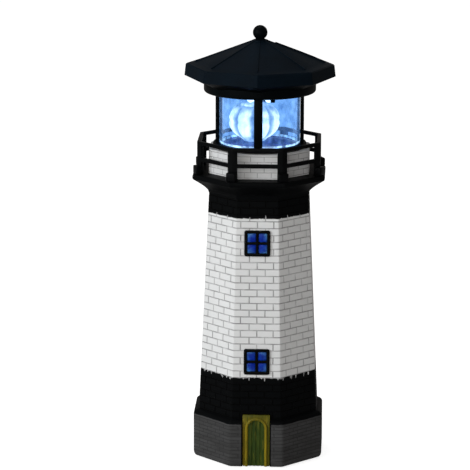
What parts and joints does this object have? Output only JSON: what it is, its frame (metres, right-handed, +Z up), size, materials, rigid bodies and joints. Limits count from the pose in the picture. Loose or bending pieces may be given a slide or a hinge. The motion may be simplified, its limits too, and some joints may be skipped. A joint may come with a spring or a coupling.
{
  "type": "garden lighthouse lamp",
  "caption": "Eight-sided garden lighthouse ornament with a railed gallery and a solar lamp cap that lifts off a clear lens with a turning beacon.",
  "frame": {"origin": "middle of the footprint, on the ground under the foot pads", "axes": "+Z up the tower's axis, -Y out of the door's face, +X to the right seen from the door"},
  "size_m": [0.095, 0.095, 0.276],
  "materials": {
    "tower_paint": "moulded brick relief, white between black bands over a grey plinth",
    "white_paint": "moulded brick relief, painted white",
    "black_paint": "satin black paint",
    "cap_black": "satin black moulded plastic",
    "base_black": "plain moulded plastic",
    "door_yellow": "hand-painted yellow",
    "door_green": "hand-painted green planks",
    "blue_glass": "glossy blue enamel panes",
    "lens_clear": "clear moulded lens",
    "floor_blue": "polished dark floor",
    "globe_glow": "clear faceted globe, lit white",
    "reflector_mirror": "vacuum-plated mirror",
    "led_white": "clear lamp domes",
    "solar_blue": "laminated solar cell",
    "screw_steel": "zinc plated",
    "motor_steel": "plain steel",
    "gear_white": "plain moulded plastic",
    "board_green": "coated circuit board",
    "cell_wrap": "plain shrink sleeve",
    "lead_red": "insulated leads",
    "pad_rubber": "soft black rubber"
  },
  "bodies": {
    "tower": {"plinth": "tower_paint", "tower_wall": "tower_paint", "gallery_deck": "tower_paint", "base_cover": "base_black", "base_screws": "screw_steel", "foot_pads": "pad_rubber", "upper_window_frame": "black_paint", "upper_window_glass": "blue_glass", "lower_window_frame": "black_paint", "lower_window_glass": "blue_glass", "door_surround": "door_yellow", "door_leaf": "door_green", "watch_room": "white_paint", "gallery_railing": "black_paint", "seat_gasket": "pad_rubber"},
    "lamp_frame": {"lens_frame": "cap_black", "lens_tube": "lens_clear", "lens_floor": "floor_blue"},
    "lamp_cap": {"collar_housing": "cap_black", "roof_shell": "cap_black", "cap_screws": "screw_steel", "finial": "cap_black", "solar_bezel": "cap_black", "solar_cell": "solar_blue", "gearbox": "gear_white", "beacon_motor": "motor_steel", "motor_strap": "base_black", "motor_screws": "screw_steel", "led_board": "board_green", "leds": "led_white", "battery_holder": "base_black", "battery_cell": "cell_wrap", "battery_contacts": "motor_steel", "control_board": "board_green", "leads": "lead_red", "switch_body": "base_black"},
    "beacon": {"beacon_globe": "globe_glow", "beacon_reflector": "reflector_mirror", "beacon_shaft": "motor_steel"},
    "switch": {"switch_knob": "cap_black"}
  },
  "joints": [
    {"name": "lamp_turn", "type": "hinge", "parent": "tower", "child": "lamp_frame", "pos_m": [0, 0, 0.1995], "axis": [0, 0, 1], "continuous": true},
    {"name": "cap_lift", "type": "slide", "parent": "lamp_frame", "child": "lamp_cap", "axis": [0, 0, 1], "range_m": [0, 0.045]},
    {"name": "beacon_spin", "type": "hinge", "parent": "lamp_cap", "child": "beacon", "pos_m": [0, 0, 0.22], "axis": [0, 0, 1], "continuous": true},
    {"name": "switch_slide", "type": "slide", "parent": "lamp_cap", "child": "switch", "axis": [0.9563, 0.2924, 0], "range_m": [0, 0.003]}
  ]
}
